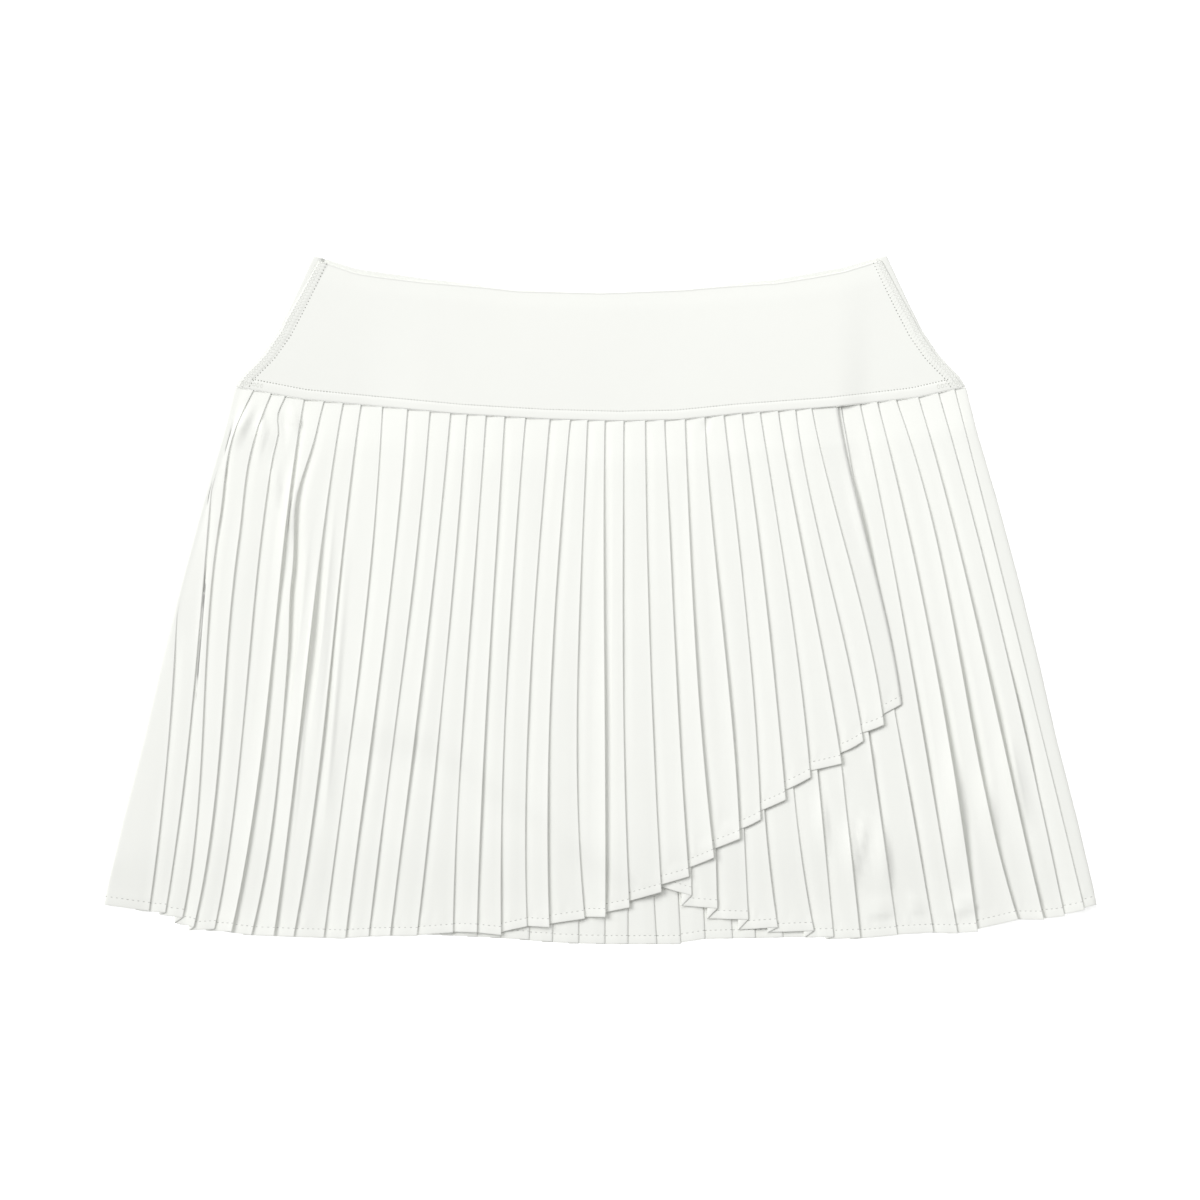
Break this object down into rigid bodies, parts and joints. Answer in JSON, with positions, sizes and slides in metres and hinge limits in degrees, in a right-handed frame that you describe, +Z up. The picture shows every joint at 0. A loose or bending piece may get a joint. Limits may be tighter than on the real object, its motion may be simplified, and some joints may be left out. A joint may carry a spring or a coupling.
{
  "type": "pleated yoga skirt",
  "caption": "Short knife-pleated skirt with a fitted yoke and a slanting wrap front, laid flat with its front up.",
  "frame": {"origin": "on the table, under the middle of the skirt", "axes": "+Z up out of the table, +Y towards the waist, +X to the right as seen from above"},
  "size_m": [0.577, 0.3999, 0.013],
  "materials": {
    "yoke_knit": "smooth matt white stretch knit",
    "pleated_cloth": "matt white fine weave with pressed knife pleats"
  },
  "bodies": {
    "root": {"yoke_front": "yoke_knit", "yoke_back": "yoke_knit", "front_overlap": "pleated_cloth", "front_underlap": "pleated_cloth", "skirt_back": "pleated_cloth"}
  },
  "joints": []
}
